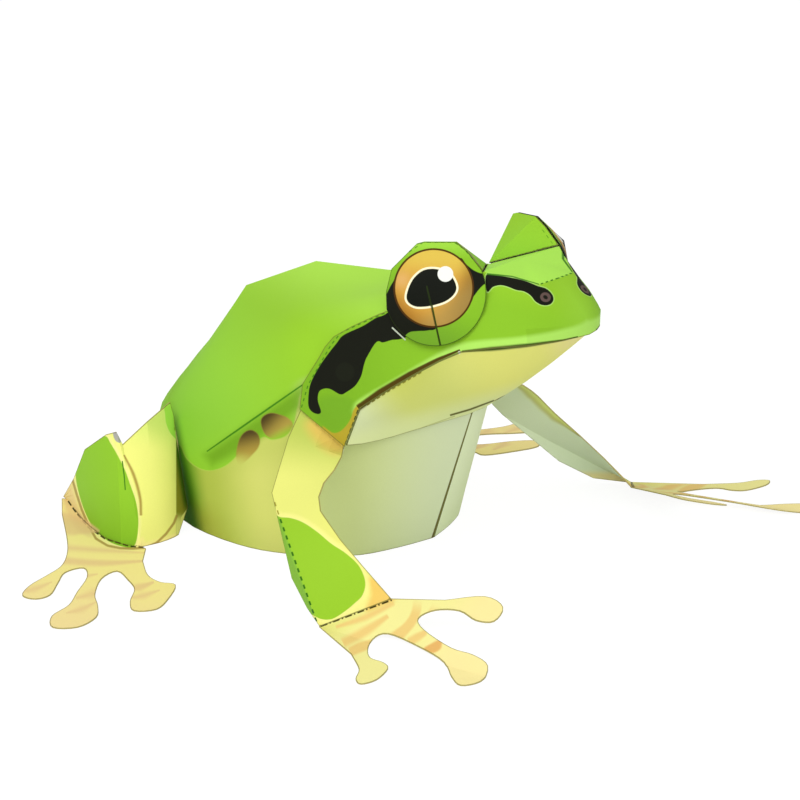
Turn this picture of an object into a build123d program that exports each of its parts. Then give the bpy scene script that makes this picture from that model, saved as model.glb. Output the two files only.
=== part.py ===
from build123d import *
import math
import os

import numpy as np

# A paper frog, cut from printed card, folded and glued. Millimetres.
# It sits facing +X with its left side at +Y, and stands on the ground at z = 0.
# Stations are measured from the foot of the chest seam; main() then moves every
# piece so that the origin is the centre of the frog's footprint.
# All corners are given for the frog's right side (-Y); the left is its mirror.

# card and glue
CARD = 0.3              # thickness of the card
GLUE = 0.06             # gap that a glue line leaves between two sheets
SEAM_GAP = 0.3          # open gap along the chest seam

# trunk
SPINE = {               # the folded spine, on the mid plane: x, z
    "rump": (-92.0, 22.0),
    "haunch": (-64.0, 61.4),
    "hump": (-39.4, 71.7),
    "nape": (-14.6, 72.7),
    "crown": (16.6, 78.7),
}
SIDE_TOP = [            # top of the side wall, from the rump to the shoulder
    (-92.0, 0.0, 22.0),
    (-87.5, -9.5, 22.0),
    (-79.5, -20.5, 22.4),
    (-66.0, -31.5, 22.8),
    (-50.8, -34.5, 23.8),
    (-38.6, -35.5, 32.6),
    (-27.0, -36.0, 40.9),
    (-15.9, -36.3, 48.9),
]
SIDE_FOOT = [           # where that wall stands on the ground
    (-86.0, 0.0),
    (-82.5, -8.5),
    (-76.0, -18.0),
    (-64.5, -28.3),
    (-52.0, -33.3),
    (-39.6, -35.6),
    (-31.0, -35.6),
    (-24.2, -34.0),
]
CHEST_TOP = [           # the wall's hidden top edge, from the shoulder to the seam
    (-15.9, -36.3, 48.9),
    (-9.5, -34.2, 47.0),
    (-3.0, -30.2, 45.0),
    (4.2, -23.6, 44.0),
    (9.3, -15.5, 43.5),
    (12.7, -7.5, 43.2),
    (14.4, 0.0, 43.0),
]
CHEST_FOOT = [
    (-24.2, -34.0),
    (-18.0, -31.4),
    (-12.5, -27.8),
    (-7.4, -23.2),
    (-4.3, -16.5),
    (-1.7, -8.0),
    (0.0, 0.0),
]
NECK = [                # the back's front edge, from the shoulder up to the eye
    (-15.9, -36.3, 48.9),
    (-11.6, -35.0, 56.2),
    (-7.8, -33.4, 62.3),
    (2.4, -31.0, 68.4),
    (5.5, -29.0, 70.0),
]
REAR_STATIONS = (-92.0, -88.5, -82.0, -73.0, -64.0, -54.0, -46.5, -39.4)
FRONT_STATIONS = (-39.4, -28.0, -14.6, 1.0, 16.6)
RIDGE_SLOPE = 24.0      # slope of the back beside the spine, degrees
ROOF_STEPS = 7          # facets from the spine down to the side wall
WALL_STEPS = 4
SEAM_TAB = (0.12, 0.97)         # extent of the glue tab behind the chest seam, of its height
SEAM_TAB_TIP = (0.16, 0.93)     # and of the tab's tapered free edge

# head
FOREHEAD_REAR = (27.9, -17.5, 81.7)
FOREHEAD_FRONT = (38.5, -7.8, 77.9)
FOREHEAD_LIFT = 0.2     # rise of the forehead's middle over its rear corners
NOSE = (38.9, 0.0, 78.0)        # middle of the fold across the snout
BROW_STATIONS = (0.0, 0.35, 0.68, 1.0)
UNDER_EYE = [(22.5, 78.3), (17.0, 75.6), (11.5, 73.0)]      # cheek's hidden top edge: x, z
NECK_LAP = 0.2          # how far the cheek's edge laps up over the neck's
EYE_NORMAL = (0.32, -0.907, 0.273)
EYE_PLANE = 47.1        # distance of the eye plate from the frame's datum
EYE_CENTRE = (17.1, -23.2, 75.4)
EYE_RADIUS = 13.4
EYE_TIP = (17.1, 76.8)  # where the tip of the eye's cone stands over the plate: x, z
EYE_RISE = 9.5          # how far the cone stands out at its tip
EYE_TRIM = 0.985        # size of the cone's upper edge against the plate's
EYE_STANDOFF = 0.45     # how far the disc's rim stands out from the eye plate
EYE_SEAM = 0.12         # open slit along the cone's glued seam
EYE_SIDES = 60
EYE_SEAM_WAY = (3.3, -2.5, -11.9)       # direction of the seam, down from the pupil
CHEEK_INSET = 0.75      # how far the cheek lies behind the eye plate
LIP = [                 # edge of the upper lip, from its tip to the jaw corner
    (48.9, 0.0, 64.6),
    (48.0, -5.0, 64.6),
    (45.9, -9.7, 64.4),
    (41.2, -17.2, 64.1),
    (34.6, -22.0, 63.6),
    (25.6, -24.3, 61.6),
    (20.3, -26.2, 58.8),
    (15.6, -28.6, 55.7),
    (9.0, -31.8, 51.0),
    (1.4, -35.0, 45.1),
]
CHEEK_CORNER = (-16.4, -37.4, 42.3)
JAW_CORNER = (-1.8, -37.4, 34.7)
SNOUT_BULGE = 3.0       # swell of the snout over the straight line from lip to brow
SWELL_WAY = (0.5, -0.8, 0.25)   # its direction
SWELL_LOW = 0.65        # under 1 brings the fullest part of the swell down towards the lip
SWELL_END = 0.5         # share of the lip's stations where the swell has died out
CHEEK_STEPS = 4         # facets from the lip up to the brow
MOUTH_GAP = 0.35

# eye hoods
HOOD_RIM = [            # corners of the eye plate above the head, rear to front: x, z
    (5.5, 70.6),
    (4.6, 74.9),
    (5.0, 80.8),
    (10.2, 87.4),
    (12.0, 88.0),
    (20.0, 88.5),
    (23.4, 86.3),
    (27.7, 82.0),
]
HOOD_LIFT = 0.25        # clearance of the hood's foot over the back and the brow

# throat
THROAT_FOOT = [         # where the throat lies on the chest, seam to jaw corner
    (13.9, 0.0, 38.6),
    (13.4, -5.0, 38.3),
    (12.0, -10.0, 38.1),
    (9.4, -15.5, 37.3),
    (6.2, -20.4, 36.2),
    (3.3, -25.5, 35.2),
    (0.4, -31.5, 34.6),
    (-2.0, -36.5, 34.9),
]
THROAT_SAG = 2.2        # twice the depth of the throat's swell on the mid plane
THROAT_STEPS = 5
THROAT_INSET = (-0.5, 0.0, -0.1)        # how the throat's edge lies behind the lip
THROAT_TUCK = 6.0       # how many times further back it stops at the snout's tip
TUCK_STATIONS = 3       # stations of the lip over which it comes back out

# arms
UPPER_ARM_REAR = [      # rear edge, shoulder to elbow
    (-15.9, -36.66, 45.0),
    (-16.6, -36.7, 41.9),
    (-17.2, -41.2, 35.5),
    (-16.2, -46.1, 29.4),
    (-15.2, -51.0, 23.2),
]
UPPER_ARM_FRONT = [     # front edge over the same stations
    (-3.2, -36.66, 37.5),
    (-2.6, -36.7, 34.0),
    (0.9, -42.0, 33.8),
    (1.4, -45.6, 31.4),
    (1.0, -49.9, 28.6),
]
FOREARM_REAR = [        # rear edge, elbow to wrist
    (-13.0, -52.5, 20.3),
    (-9.2, -55.3, 17.6),
    (-1.7, -60.8, 12.3),
    (9.6, -68.5, 5.0),
    (17.3, -73.4, 0.32),
]
FOREARM_FRONT = [
    (1.6, -52.8, 25.8),
    (3.6, -54.7, 22.9),
    (11.0, -56.3, 17.3),
    (18.6, -57.0, 11.9),
    (27.5, -57.0, 5.0),
]
ARM_FLAP = [            # lower corners of the flap behind the forearm
    (0.0, -62.3, 6.2),
    (8.7, -67.2, 1.4),
]
ARM_STEPS = 4           # facets across the arm
HAND_CURL = 15.3        # slope of the hand's raised inner half, degrees
HAND_LINE = (1.0, -0.077)       # direction of the line about which it curls
HAND_REACH = 40.0       # half the width of the strip the hand is cut from
OUTLINE_STEPS = 4       # spans of the cut line between two points of an outline
HAND_OUTLINE = [        # from the outer side of the wrist round the fingers
    (35.2, -84.0), (42.7, -90.9), (46.0, -96.6), (49.0, -98.4), (50.3, -93.9),
    (48.2, -86.5), (44.8, -84.0), (40.5, -83.3), (36.5, -78.8), (34.0, -73.5),
    (36.2, -70.2), (47.0, -72.3), (57.0, -75.8), (63.5, -82.0), (68.5, -85.3),
    (70.9, -80.5), (68.2, -73.4), (62.0, -70.7), (55.0, -70.0), (44.0, -65.8),
    (39.6, -62.0), (41.5, -57.6), (47.5, -55.8), (54.0, -58.0), (58.6, -56.8),
    (57.2, -50.8), (50.0, -48.3), (41.2, -53.0),
]

# hind legs
LEG_SEAT = 0.05         # height of the wall's lower edge in the sole
LEG_STEPS = 4           # facets from the wall's top edge to the ground
THIGH_FOOT = [          # foot of the leg's upright wall, from the flank to the knee
    (-60.2, -31.5, 5.5),
    (-57.4, -38.9, LEG_SEAT),
    (-57.0, -41.2, LEG_SEAT),
    (-56.9, -43.7, LEG_SEAT),
    (-57.2, -47.0, LEG_SEAT),
]
THIGH_TOP = [           # its top edge over the same stations
    (-62.5, -32.8, 24.2),
    (-62.9, -32.7, 27.3),
    (-63.7, -32.4, 31.2),
    (-64.0, -33.5, 35.3),
    (-64.6, -42.5, 31.8),
]
SHIN_FOOT = [           # the same wall from the knee to the heel, standing on the sole
    (-58.8, -52.6, LEG_SEAT),
    (-64.5, -54.3, LEG_SEAT),
    (-71.8, -52.8, LEG_SEAT),
    (-84.2, -46.4, LEG_SEAT),
    (-94.5, -39.6, LEG_SEAT),
    (-103.4, -33.3, LEG_SEAT),
]
SHIN_TOP = [
    (-67.6, -49.2, 26.5),
    (-68.6, -50.5, 30.2),
    (-72.6, -50.2, 28.7),
    (-85.3, -45.0, 20.9),
    (-94.8, -39.5, 9.4),
    (-104.0, -34.0, 0.9),
]
FOOT_OUTLINE = [        # from the heel round the toes to the instep
    (-95.0, -44.5), (-78.7, -60.4), (-70.4, -69.7), (-65.4, -77.5), (-63.5, -85.0),
    (-61.7, -93.5), (-58.2, -100.0), (-53.6, -100.1), (-52.6, -95.5), (-57.1, -87.6),
    (-61.2, -80.3), (-59.7, -74.9), (-54.0, -80.0), (-48.5, -89.9), (-43.6, -98.5),
    (-41.6, -107.0), (-36.0, -112.8), (-31.0, -109.0), (-32.0, -101.0), (-37.1, -94.6),
    (-43.5, -88.5), (-50.2, -78.5), (-50.9, -71.6), (-44.0, -75.2), (-38.0, -79.6),
    (-32.8, -87.3), (-27.5, -91.8), (-23.6, -87.5), (-26.4, -79.4), (-31.5, -70.8),
    (-36.2, -71.5), (-42.3, -69.2), (-50.7, -61.5),
]
HEEL = (-104.5, -34.1)
INSTEP = (-56.6, -53.4)


# helpers
def lerp(a, b, t):
    return np.asarray(a, float) * (1 - t) + np.asarray(b, float) * t


def flipped(point):
    return (point[0], -point[1], point[2])


def smooth_row(points, steps=2):
    """Points of a smooth curve through the given ones, `steps` spans between each pair."""
    p = [np.asarray(q, float) for q in points]
    p = [2 * p[0] - p[1]] + p + [2 * p[-1] - p[-2]]
    row = []
    for i in range(1, len(p) - 2):
        for k in range(steps):
            t = k / steps
            row.append(0.5 * (2 * p[i] + (p[i + 1] - p[i - 1]) * t
                       + (2 * p[i - 1] - 5 * p[i] + 4 * p[i + 1] - p[i + 2]) * t ** 2
                       + (3 * p[i] - p[i - 1] - 3 * p[i + 1] + p[i + 2]) * t ** 3))
    return row + [p[-2]]


def straight_row(points, steps=2):
    """The same for a row that is folded, with a corner at each given point."""
    row = []
    for a, b in zip(points, points[1:]):
        row += [lerp(a, b, k / steps) for k in range(steps)]
    return row + [np.asarray(points[-1], float)]


def between(upper, lower, steps, bulge=None):
    """Rows of points from an upper row to a lower one; bulge(u, v) moves each outwards."""
    rows = []
    for i in range(steps + 1):
        v = i / steps
        row = [lerp(a, b, v) for a, b in zip(upper, lower)]
        if bulge:
            last = len(row) - 1
            row = [q + bulge(j / last, v) for j, q in enumerate(row)]
        rows.append(row)
    return rows


def facets_of(rows):
    """Triangles of a net of rows, each counter-clockwise seen from outside."""
    out = []
    for top, low in zip(rows, rows[1:]):
        for j in range(len(top) - 1):
            out.append((top[j], low[j], low[j + 1]))
            out.append((top[j], low[j + 1], top[j + 1]))
    return out


def fan(*corners):
    return [(corners[0], b, c) for b, c in zip(corners[1:], corners[2:])]


def mirrored(facets):
    return [tuple(flipped(p) for p in reversed(f)) for f in facets]


def folded_sheet(facets, thickness=CARD):
    """A sheet of card whose outer face is the given triangles, thickened inwards.

    Each corner moves in by the same distance from every facet that meets there,
    so the sheet keeps its thickness and is mitred along its folds.
    """
    index, corners, tris = {}, [], []
    for facet in facets:
        ids = []
        for p in facet:
            key = tuple(round(float(v), 4) for v in p)
            if key not in index:
                index[key] = len(corners)
                corners.append(np.array(key))
            ids.append(index[key])
        if len(set(ids)) == 3:
            tris.append(tuple(ids))
    normals = [[] for _ in corners]
    for a, b, c in tris:
        n = np.cross(corners[b] - corners[a], corners[c] - corners[a])
        n = n / np.linalg.norm(n)
        for i in (a, b, c):
            normals[i].append(n)
    inner = []
    for p, ns in zip(corners, normals):
        shift = np.linalg.lstsq(np.array(ns), -thickness * np.ones(len(ns)), rcond=0.12)[0]
        inner.append(p + shift)
    edges = {}
    for tri in tris:
        for a, b in zip(tri, tri[1:] + tri[:1]):
            edges[(a, b)] = edges.get((a, b), 0) + 1

    def triangle(*points):
        return Face(Wire.make_polygon([Vector(*map(float, p)) for p in points], close=True))

    faces = [triangle(*(corners[i] for i in t)) for t in tris]
    faces += [triangle(*(inner[i] for i in reversed(t))) for t in tris]
    for a, b in edges:
        if (b, a) not in edges:
            faces.append(triangle(corners[b], corners[a], inner[a]))
            faces.append(triangle(corners[b], inner[a], inner[b]))
    return Solid(Shell(faces))


# trunk
def spine_at(x):
    xs = [p[0] for p in SPINE.values()]
    zs = [p[1] for p in SPINE.values()]
    return (x, 0.0, float(np.interp(x, xs, zs)))


def rib(ridge, foot, ridge_slope, foot_slope):
    """One cross-section of the back, curving from the spine down to its lower edge."""
    ridge, foot = np.asarray(ridge, float), np.asarray(foot, float)
    reach = math.hypot(foot[1] - ridge[1], foot[2] - ridge[2]) * 0.42
    a, b = math.radians(ridge_slope), math.radians(foot_slope)
    p1 = lerp(ridge, foot, 0.33)
    p2 = lerp(ridge, foot, 0.67)
    p1[1:] = ridge[1:] + reach * np.array([-math.cos(a), -math.sin(a)])
    p2[1:] = foot[1:] - reach * np.array([-math.cos(b), -math.sin(b)])
    points = []
    for i in range(ROOF_STEPS + 1):
        t = i / ROOF_STEPS
        points.append((1 - t) ** 3 * ridge + 3 * (1 - t) ** 2 * t * p1
                      + 3 * (1 - t) * t ** 2 * p2 + t ** 3 * foot)
    return points


def trunk_side():
    """Facets of the right half: the back's ribs, the side wall and the chest."""
    spine = straight_row([spine_at(x) for x in REAR_STATIONS])
    side = smooth_row(SIDE_TOP)
    front_spine = straight_row([spine_at(x) for x in FRONT_STATIONS])
    neck = smooth_row(NECK)
    back = [rib(a, b, RIDGE_SLOPE, 90.0) for a, b in zip(spine, side)]
    crown, eye = front_spine[-1], neck[-1]
    brow_slope = math.degrees(math.atan2(crown[2] - eye[2], crown[1] - eye[1]))
    for i in range(1, len(neck)):
        t = i / (len(neck) - 1)
        slopes = lerp((RIDGE_SLOPE, 90.0), (brow_slope, brow_slope), t)
        back.append(rib(front_spine[i], neck[i], *slopes))
    rows = [list(row) for row in zip(*back)]
    roof = facets_of(rows)
    wall_top = side + smooth_row(CHEST_TOP)[1:]
    ground = smooth_row([(x, y, 0.0) for x, y in SIDE_FOOT])
    ground += smooth_row([(x, y, 0.0) for x, y in CHEST_FOOT])[1:]
    wall_top[-1] = wall_top[-1] + np.array([0.0, -SEAM_GAP / 4, 0.0])
    ground[-1] = ground[-1] + np.array([0.0, -SEAM_GAP / 2, 0.0])
    wall = facets_of(between(wall_top, ground, WALL_STEPS))
    return roof, wall, wall_top, ground


def body_sheet():
    """Back, flanks and chest: one sheet, closed by a glued seam down the chest."""
    roof, wall, top, ground = trunk_side()
    sheet = folded_sheet(roof + wall + mirrored(roof + wall))
    behind = np.array([-CARD - GLUE, 0.0, 0.0])
    joined = np.array([-CARD + GLUE, 0.0, 0.0])
    rows = []
    for v, tip in zip(SEAM_TAB, SEAM_TAB_TIP):
        seam = lerp(top[-1], ground[-1], v) * np.array([1.0, 0.0, 1.0])
        free = lerp(top[-3], ground[-3], tip) + 1.25 * behind
        rows.append([free, seam + behind, flipped(lerp(top[-2], ground[-2], v) + joined)])
    return sheet.fuse(folded_sheet(facets_of(rows)))


# head
def on_eye_plane(x, z, inset=0.0):
    """The point of the eye plate's plane at x and z, set `inset` behind it."""
    nx, ny, nz = EYE_NORMAL
    return (x, (EYE_PLANE - inset - nx * x - nz * z) / ny, z)


def head_sheet():
    """Forehead, snout and cheeks: one sheet, folded along the brow and the nose."""
    brow = [lerp(FOREHEAD_REAR, FOREHEAD_FRONT, t) for t in BROW_STATIONS]
    under_eye = [np.array(on_eye_plane(x, z, CHEEK_INSET)) for x, z in UNDER_EYE]
    lapped = np.array([0.0, -CARD - 2 * GLUE, NECK_LAP])
    edge = [np.array(NOSE), lerp(NOSE, FOREHEAD_FRONT, 0.5)] + brow[::-1] + under_eye
    edge.append(np.array(NECK[-1]) + lapped)
    lip = [np.array(p) for p in LIP]

    def bulge(u, v):
        way = np.array(SWELL_WAY) * np.array([1.0, 1.0 if u > 0 else 0.0, 1.0])
        return way * SNOUT_BULGE * math.sin(math.pi * v ** SWELL_LOW) * max(0.0, 1 - (u / SWELL_END) ** 2)

    face = facets_of(between(lip, edge, CHEEK_STEPS, bulge))
    neck = [p + lapped for p in smooth_row(NECK)[::-1]] + [np.array(CHEEK_CORNER)]
    jaw = straight_row([lip[-1], JAW_CORNER], 5)
    jaw += straight_row([JAW_CORNER, CHEEK_CORNER], len(neck) - len(jaw))[1:]
    cheek = facets_of(between(jaw, neck, CHEEK_STEPS))
    crown = (SPINE["crown"][0] + 0.6, 0.0, SPINE["crown"][1])
    top = fan((FOREHEAD_REAR[0], 0.0, FOREHEAD_REAR[2] + FOREHEAD_LIFT), crown, *brow, edge[1], edge[0])
    half = face + cheek + top
    return folded_sheet(half + mirrored(half))


def throat_sheet():
    """Throat and jaw: a second sheet under the lips, lapped over the top of the chest."""
    lip = []
    for i, p in enumerate(LIP):
        inward = (CARD + MOUTH_GAP) if p[1] < -2 else 0.0
        back = (1.0 if p[0] > 30 else 0.4) + THROAT_TUCK * max(0.0, 1 - i / TUCK_STATIONS)
        lip.append(p + back * np.array(THROAT_INSET) + np.array([0.0, inward, 0.0]))
    shares = np.linspace(0, len(THROAT_FOOT) - 1, len(lip))
    axes = [np.interp(shares, range(len(THROAT_FOOT)), axis) for axis in zip(*THROAT_FOOT)]
    foot = [np.array(p) for p in zip(*axes)]

    def sag(u, v):
        return np.array([0.35, 0.0, -1.0]) * THROAT_SAG * math.sin(math.pi * v) * (1 - u) * 0.5

    rows = between(lip, foot, THROAT_STEPS, sag)
    half = [tuple(reversed(f)) for f in facets_of([row[::-1] for row in rows])]
    return folded_sheet(half + mirrored(half))


# eyes
def hood():
    """The hood behind an eye: a plate with the rim, and two faces folded down to the crown."""
    crown = (SPINE["crown"][0] + 0.5, -2 * CARD, SPINE["crown"][1] + HOOD_LIFT)
    rim = [on_eye_plane(x, z) for x, z in HOOD_RIM]
    apex = 4
    plate = fan(*rim[::-1])
    rear, inner = fan(crown, *rim[:apex + 1]), fan(crown, *rim[apex:])
    return folded_sheet(plate + rear + inner)


def eye_disc():
    """The printed eye: a disc drawn up to a cone, trimmed to the plate, its seam below the pupil."""
    normal = np.array(EYE_NORMAL)
    down = np.array(EYE_SEAM_WAY) - normal * np.dot(normal, EYE_SEAM_WAY)
    down = down / np.linalg.norm(down)
    across = np.cross(normal, down)
    plate_centre = np.array(on_eye_plane(EYE_CENTRE[0], EYE_CENTRE[2]))
    centre = plate_centre + normal * (EYE_STANDOFF + CARD)
    trimmed = [EYE_TRIM * (np.array(on_eye_plane(x, z)) - plate_centre) for x, z in HOOD_RIM[::-1]]
    front, rear = (math.atan2(np.dot(s, across), np.dot(s, down)) for s in (trimmed[0], trimmed[-1]))
    half_seam = EYE_SEAM / 2 / EYE_RADIUS

    def arc(start, end):
        turns = np.linspace(start, end, EYE_SIDES // 3)
        return [centre + EYE_RADIUS * (math.cos(a) * down + math.sin(a) * across) for a in turns]

    rim = arc(half_seam, front)[:-1] + [centre + s for s in trimmed] + arc(rear, -half_seam)[1:]
    tip = np.array(on_eye_plane(*EYE_TIP)) + normal * (EYE_STANDOFF + EYE_RISE)
    return folded_sheet(fan(tip, *rim))


# limbs
def outline_face(start, points, end):
    """A flat face: straight from start, smoothly round the given points, straight to end."""
    corners = [start, *smooth_row(points, OUTLINE_STEPS), end]
    return Face(Wire.make_polygon([Vector(float(x), float(y), 0) for x, y in corners], close=True))


def hand():
    """The hand: cut round the fingers, flat at its outer side and curled up at the inner."""
    wrist_out, wrist_in = FOREARM_REAR[-1][:2], FOREARM_FRONT[-1][:2]
    blank = extrude(outline_face(wrist_out, HAND_OUTLINE, wrist_in), amount=HAND_REACH, dir=(0, 0, 1))
    rise = math.tan(math.radians(HAND_CURL))
    thick = CARD / math.cos(math.radians(HAND_CURL))
    reach = HAND_REACH
    section = Polyline((-reach, 0), (0, 0), (reach, reach * rise), (reach, reach * rise + thick),
                       (0, CARD), (-reach, CARD), close=True)
    along = Vector(*HAND_LINE, 0).normalized()
    across = Vector(-along.Y, along.X, 0)
    start = Vector(*wrist_out, 0) - along * reach
    strip = extrude(Plane(origin=start, x_dir=across, z_dir=along) * make_face(section), amount=3 * reach)
    return strip & blank


def arm():
    """Arm and hand: one sheet, with a flap folded back behind the forearm."""
    rear = [np.array(p) for p in UPPER_ARM_REAR + FOREARM_REAR]
    front = [np.array(p) for p in UPPER_ARM_FRONT + FOREARM_FRONT]
    wrist = front[-1] - rear[-1]
    lap = CARD * np.array([wrist[1], -wrist[0], 0.0]) / np.linalg.norm(wrist)
    rear[-1], front[-1] = rear[-1] + lap, front[-1] + lap
    panel = facets_of(between(front, rear, ARM_STEPS))
    flap = fan(*ARM_FLAP, *rear[len(UPPER_ARM_REAR):][::-1])
    return folded_sheet(panel + flap) + hand()


def hind_leg():
    """Thigh, shin and foot: one sheet, its upright wall folded up from the foot."""
    wall = facets_of(between(THIGH_FOOT + SHIN_FOOT, THIGH_TOP + SHIN_TOP, LEG_STEPS))
    arch = smooth_row([(x, y) for x, y, _ in SHIN_FOOT], OUTLINE_STEPS)
    toes = smooth_row(FOOT_OUTLINE, OUTLINE_STEPS)
    corners = [HEEL, *toes, INSTEP, *arch]
    base = Face(Wire.make_polygon([Vector(float(x), float(y), 0) for x, y in corners], close=True))
    sole = extrude(base, amount=CARD, dir=(0, 0, 1))
    return folded_sheet(wall) + sole


def left(shape):
    return mirror(shape, about=Plane.XZ)


def main():
    pieces = {"body_sheet": body_sheet(), "head_sheet": head_sheet(), "throat_sheet": throat_sheet()}
    for name, make in (("eye_hood", hood), ("eye_disc", eye_disc), ("arm", arm), ("hind_leg", hind_leg)):
        piece = make()
        pieces[name + "_right"] = piece
        pieces[name + "_left"] = left(piece)
    boxes = [p.bounding_box() for p in pieces.values()]
    middle = (min(b.min.X for b in boxes) + max(b.max.X for b in boxes)) / 2
    ground = min(b.min.Z for b in boxes)
    os.makedirs("parts", exist_ok=True)
    for name, piece in pieces.items():
        export_step(Pos(-middle, 0, -ground) * piece, f"parts/{name}.step")


main()
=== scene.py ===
"""Looks of the paper frog: printed card with tinted cut edges, on a plain white floor.

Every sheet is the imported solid's own surface, divided finely enough to carry print.
The print is drawn as shapes: each one is a distance or a fade, stored on the mesh's
points, and the material turns it into an edge of ink. Lengths are in millimetres;
only the floor and the lamps are placed in metres.
"""
import math

import bmesh
import bpy
import numpy as np
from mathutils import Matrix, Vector
from mathutils.bvhtree import BVHTree
from mathutils.kdtree import KDTree

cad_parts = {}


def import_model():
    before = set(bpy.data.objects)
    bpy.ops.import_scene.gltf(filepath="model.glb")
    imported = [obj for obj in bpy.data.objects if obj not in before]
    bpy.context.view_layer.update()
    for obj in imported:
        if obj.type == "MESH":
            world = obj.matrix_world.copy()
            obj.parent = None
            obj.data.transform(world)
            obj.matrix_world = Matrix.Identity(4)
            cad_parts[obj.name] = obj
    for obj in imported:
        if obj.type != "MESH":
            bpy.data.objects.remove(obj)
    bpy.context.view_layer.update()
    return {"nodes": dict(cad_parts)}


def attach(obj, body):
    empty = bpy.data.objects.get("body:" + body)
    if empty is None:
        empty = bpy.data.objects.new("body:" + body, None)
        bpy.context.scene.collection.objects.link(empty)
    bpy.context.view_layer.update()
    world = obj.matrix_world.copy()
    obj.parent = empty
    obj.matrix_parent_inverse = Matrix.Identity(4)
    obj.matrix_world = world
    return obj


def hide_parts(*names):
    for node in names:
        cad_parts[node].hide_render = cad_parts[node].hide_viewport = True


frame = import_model()

MM = 0.001
CARD = 0.3              # thickness of the card
WELD = 0.001            # corners of the solid that lie closer than this are one
FOLD = 24.0             # an edge that turns more than this is a fold or a cut, degrees
COARSE = 1.0     # how much wider the print's mesh is than each sheet asks
HALVINGS = 9            # most rounds in which long edges are halved
PRINT, BACK, CUT = 0, 1, 2              # the card's sides, in the order of their materials

# camera: it looks down on the frog from its right front
TURN = math.radians(36.0)
TILT = math.radians(16.0)
EYE_POINT = np.array([456.11, -620.0, 256.84])
LENS = 132.75
SENSOR = 36.0
PICTURE = 800.0         # side of the square that the print's points are measured in

# floor and lamps
FLOOR_SIZE = 4.0
FLOOR_GREY = 0.9
FLOOR_WHITE = 0.85      # share of the floor that the camera sees as plain white; the rest takes shadow
FLOOR_GLOW = 1.08
SKY_LIGHT = 0.62
LAMP_AIM = (0.0, 0.0, 0.04)
LAMPS = [               # name, place, size, watts
    ("key", (-0.25, -0.95, 1.15), 0.9, 9.0),
    ("front", (0.75, -1.3, 0.35), 1.2, 4.5),
    ("fill", (1.1, -0.5, 0.6), 1.0, 4.0),
]

# card
ROUGHNESS = {PRINT: 0.6, BACK: 0.75, CUT: 0.8}
SHEEN = 0.08
GRAIN = 0.06            # how much the paper's tooth shows in the colour
TOOTH = (2600.0, 3.0, 0.12, 0.03)       # noise: scale, detail, strength and height of the bump
UNEVENNESS = (70.0, 1.0, 0.25, 0.2)
RIM_WIDTH = 0.22        # the drawn outline along each cut edge
RIM_SOFT = 0.09
RIM_STRENGTH = {PRINT: 0.75, BACK: 0.4}

# drawing
NEAR = 14.0             # how far from a line its distance is worked out
FAR = 1e9
OFF_LINE = -1e4         # place along a line for the points that aren't near it
END_SOFT = 0.5
DASH_SOFT = 0.04
SEAM_HALF = 0.75        # half the chest seam's width on the ground
SEAM_TAPER = 0.011      # how much of that it loses with each millimetre of height
SEAM_SOFT = 0.08


# camera, floor and light
def camera():
    data = bpy.data.cameras.new("camera")
    data.lens = LENS
    data.sensor_width = SENSOR
    data.clip_end = 20.0
    obj = bpy.data.objects.new("camera", data)
    bpy.context.scene.collection.objects.link(obj)
    obj.location = Vector(EYE_POINT) * MM
    obj.rotation_euler = (math.pi / 2 - TILT, 0.0, TURN)
    bpy.context.scene.camera = obj


def shader(name):
    material = bpy.data.materials.new(name)
    material.use_nodes = True
    material.node_tree.nodes.clear()
    return material, material.node_tree.nodes, material.node_tree.links


def times(nodes, links, share, other):
    """A shader value times another one, or times a plain number."""
    node = nodes.new("ShaderNodeMath")
    node.operation = "MULTIPLY"
    links.new(share, node.inputs[0])
    if isinstance(other, float):
        node.inputs[1].default_value = other
    else:
        links.new(other, node.inputs[1])
    return node.outputs[0]


def floor():
    """A floor that the camera sees as white, with a faint shadow."""
    bm = bmesh.new()
    bmesh.ops.create_grid(bm, x_segments=8, y_segments=8, size=FLOOR_SIZE)
    mesh = bpy.data.meshes.new("floor")
    bm.to_mesh(mesh)
    bm.free()
    obj = bpy.data.objects.new("floor", mesh)
    bpy.context.scene.collection.objects.link(obj)
    material, nodes, links = shader("floor")
    out = nodes.new("ShaderNodeOutputMaterial")
    mix = nodes.new("ShaderNodeMixShader")
    path = nodes.new("ShaderNodeLightPath")
    paper = nodes.new("ShaderNodeBsdfDiffuse")
    paper.inputs["Color"].default_value = (FLOOR_GREY, FLOOR_GREY, FLOOR_GREY, 1)
    white = nodes.new("ShaderNodeEmission")
    white.inputs["Color"].default_value = (1, 1, 1, 1)
    white.inputs["Strength"].default_value = FLOOR_GLOW
    links.new(times(nodes, links, path.outputs["Is Camera Ray"], FLOOR_WHITE), mix.inputs[0])
    links.new(paper.outputs[0], mix.inputs[1])
    links.new(white.outputs[0], mix.inputs[2])
    links.new(mix.outputs[0], out.inputs[0])
    mesh.materials.append(material)


def world():
    """Even white light, and a white backdrop for the camera."""
    studio = bpy.data.worlds.new("studio")
    bpy.context.scene.world = studio
    studio.use_nodes = True
    nodes, links = studio.node_tree.nodes, studio.node_tree.links
    nodes.clear()
    out = nodes.new("ShaderNodeOutputWorld")
    light = nodes.new("ShaderNodeBackground")
    light.inputs["Color"].default_value = (1, 1, 1, 1)
    light.inputs["Strength"].default_value = SKY_LIGHT
    backdrop = nodes.new("ShaderNodeBackground")
    backdrop.inputs["Strength"].default_value = 1.0
    path = nodes.new("ShaderNodeLightPath")
    mix = nodes.new("ShaderNodeMixShader")
    links.new(path.outputs["Is Camera Ray"], mix.inputs[0])
    links.new(light.outputs[0], mix.inputs[1])
    links.new(backdrop.outputs[0], mix.inputs[2])
    links.new(mix.outputs[0], out.inputs[0])


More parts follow.
